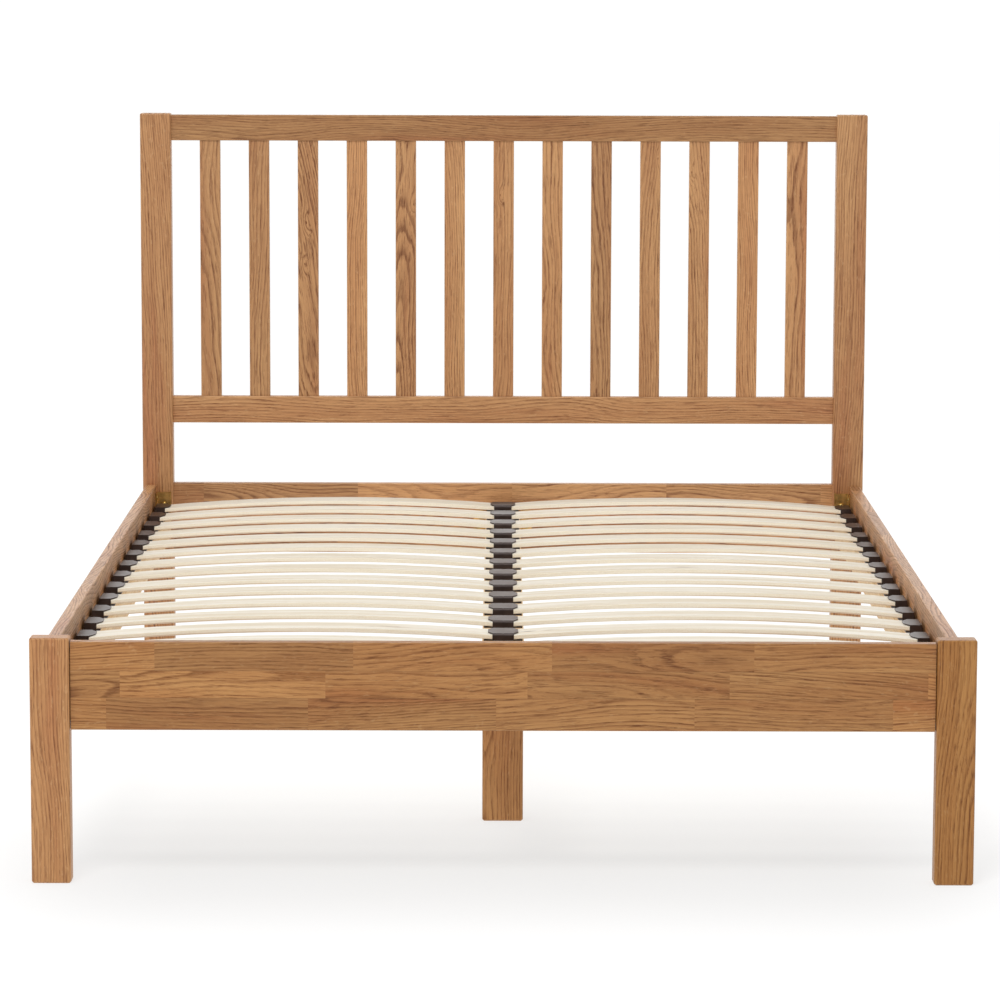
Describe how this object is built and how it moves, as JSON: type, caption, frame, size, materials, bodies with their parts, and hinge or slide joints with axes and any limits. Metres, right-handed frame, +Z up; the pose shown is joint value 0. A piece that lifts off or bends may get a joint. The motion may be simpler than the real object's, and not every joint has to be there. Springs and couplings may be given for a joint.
{
  "type": "wooden bed frame",
  "caption": "King-size oak bed frame: slatted headboard on posts, low foot rail, side rails and two columns of bowed slats in plastic caps on battens and a centre beam.",
  "frame": {"origin": "on the floor, at the middle of the overall length and width", "axes": "+Y from the foot end to the headboard, +X to the right seen from the foot end, +Z up"},
  "size_m": [1.6, 2.085, 1.22],
  "materials": {
    "oak": "satin oiled oak",
    "oak_staved": "satin oiled oak, glued from staves",
    "softwood": "planed, matt",
    "birch_ply": "bent birch veneer, matt lacquer",
    "black_plastic": "moulded, satin",
    "yellow_zinc": "yellow zinc plated",
    "yellow_zinc_fastener": "yellow zinc plated",
    "steel_fastener": "zinc plated"
  },
  "bodies": {
    "root": {"batten_screws": "steel_fastener", "beam_hanger_foot": "yellow_zinc", "beam_hanger_head": "yellow_zinc", "bracket_bolts": "yellow_zinc_fastener", "bracket_inserts": "yellow_zinc_fastener", "bracket_screws": "yellow_zinc_fastener", "centre_beam": "softwood", "centre_leg_front": "oak", "centre_leg_rear": "oak", "centre_leg_screws": "steel_fastener", "corner_bracket_foot_left": "yellow_zinc", "corner_bracket_foot_right": "yellow_zinc", "corner_bracket_head_left": "yellow_zinc", "corner_bracket_head_right": "yellow_zinc", "foot_leg_left": "oak", "foot_leg_right": "oak", "foot_rail": "oak_staved", "hanger_screws": "yellow_zinc_fastener", "head_rail": "oak_staved", "headboard_lower_rail": "oak", "headboard_post_left": "oak", "headboard_post_right": "oak", "headboard_slat_01": "oak", "headboard_slat_02": "oak", "headboard_slat_03": "oak", "headboard_slat_04": "oak", "headboard_slat_05": "oak", "headboard_slat_06": "oak", "headboard_slat_07": "oak", "headboard_slat_08": "oak", "headboard_slat_09": "oak", "headboard_slat_10": "oak", "headboard_slat_11": "oak", "headboard_slat_12": "oak", "headboard_slat_13": "oak", "headboard_top_rail": "oak", "side_batten_left": "softwood", "side_batten_right": "softwood", "side_rail_left": "oak_staved", "side_rail_right": "oak_staved", "slat_caps_centre": "black_plastic", "slat_caps_left": "black_plastic", "slat_caps_right": "black_plastic", "sprung_slats_row_01": "birch_ply", "sprung_slats_row_02": "birch_ply", "sprung_slats_row_03": "birch_ply", "sprung_slats_row_04": "birch_ply", "sprung_slats_row_05": "birch_ply", "sprung_slats_row_06": "birch_ply", "sprung_slats_row_07": "birch_ply", "sprung_slats_row_08": "birch_ply", "sprung_slats_row_09": "birch_ply", "sprung_slats_row_10": "birch_ply", "sprung_slats_row_11": "birch_ply", "sprung_slats_row_12": "birch_ply", "sprung_slats_row_13": "birch_ply", "sprung_slats_row_14": "birch_ply"}
  },
  "joints": []
}
